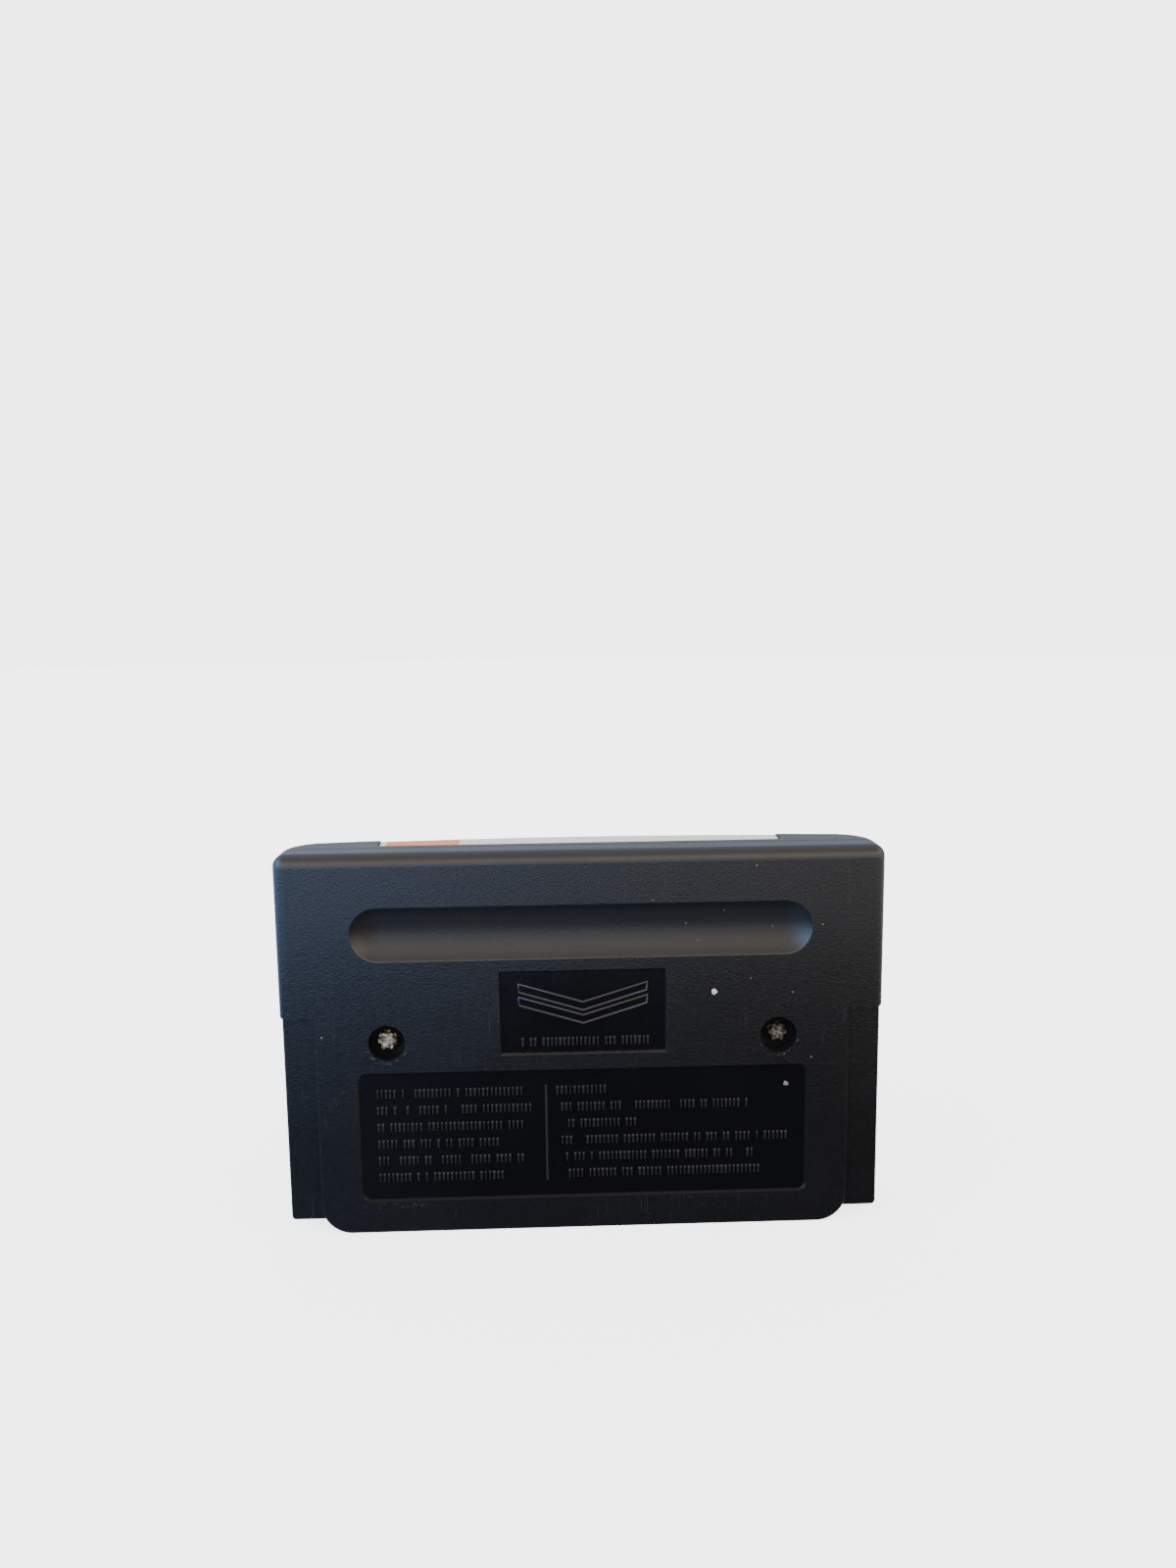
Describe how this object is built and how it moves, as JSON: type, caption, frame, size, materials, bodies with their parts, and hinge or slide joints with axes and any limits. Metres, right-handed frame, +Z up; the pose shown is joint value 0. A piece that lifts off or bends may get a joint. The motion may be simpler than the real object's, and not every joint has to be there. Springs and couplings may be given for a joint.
{
  "type": "game cartridge",
  "caption": "Upright game cartridge: bowed two-shell plastic case with a finger groove across its flat back, a folded paper label, and a circuit board whose contact edge stands in an open slot.",
  "frame": {"origin": "middle of the foot of the case, on the plane that the connector mouth stands on, at the centre of the overall box seen from above", "axes": "+X across the cartridge, to the right when the flat back faces the viewer; +Y from the flat back to the bowed front; +Z up, from the connector mouth to the top edge"},
  "size_m": [0.108, 0.017, 0.07],
  "materials": {
    "case_plastic": "charcoal moulded plastic with a fine matte grain",
    "label_paper": "coated printed paper",
    "board_laminate": "glass-fibre laminate under a green solder mask",
    "contact_gold": "thin gold plating",
    "chip_epoxy": "black moulded epoxy",
    "lead_tin": "tinned metal",
    "screw_steel": "zinc-plated steel, dulled with age",
    "can_sleeve": "shrunk plastic sleeve",
    "seal_rubber": "black rubber",
    "ceramic_coat": "dipped ochre coating"
  },
  "bodies": {
    "root": {"rear_shell": "case_plastic", "front_shell": "case_plastic", "label": "label_paper", "circuit_board": "board_laminate", "front_contacts": "contact_gold", "rear_contacts": "contact_gold", "memory_chip": "chip_epoxy", "memory_chip_leads": "lead_tin", "electrolytic_capacitor": "can_sleeve", "electrolytic_seal": "seal_rubber", "electrolytic_leads": "lead_tin", "ceramic_capacitor": "ceramic_coat", "ceramic_leads": "lead_tin", "case_screws": "screw_steel"}
  },
  "joints": []
}
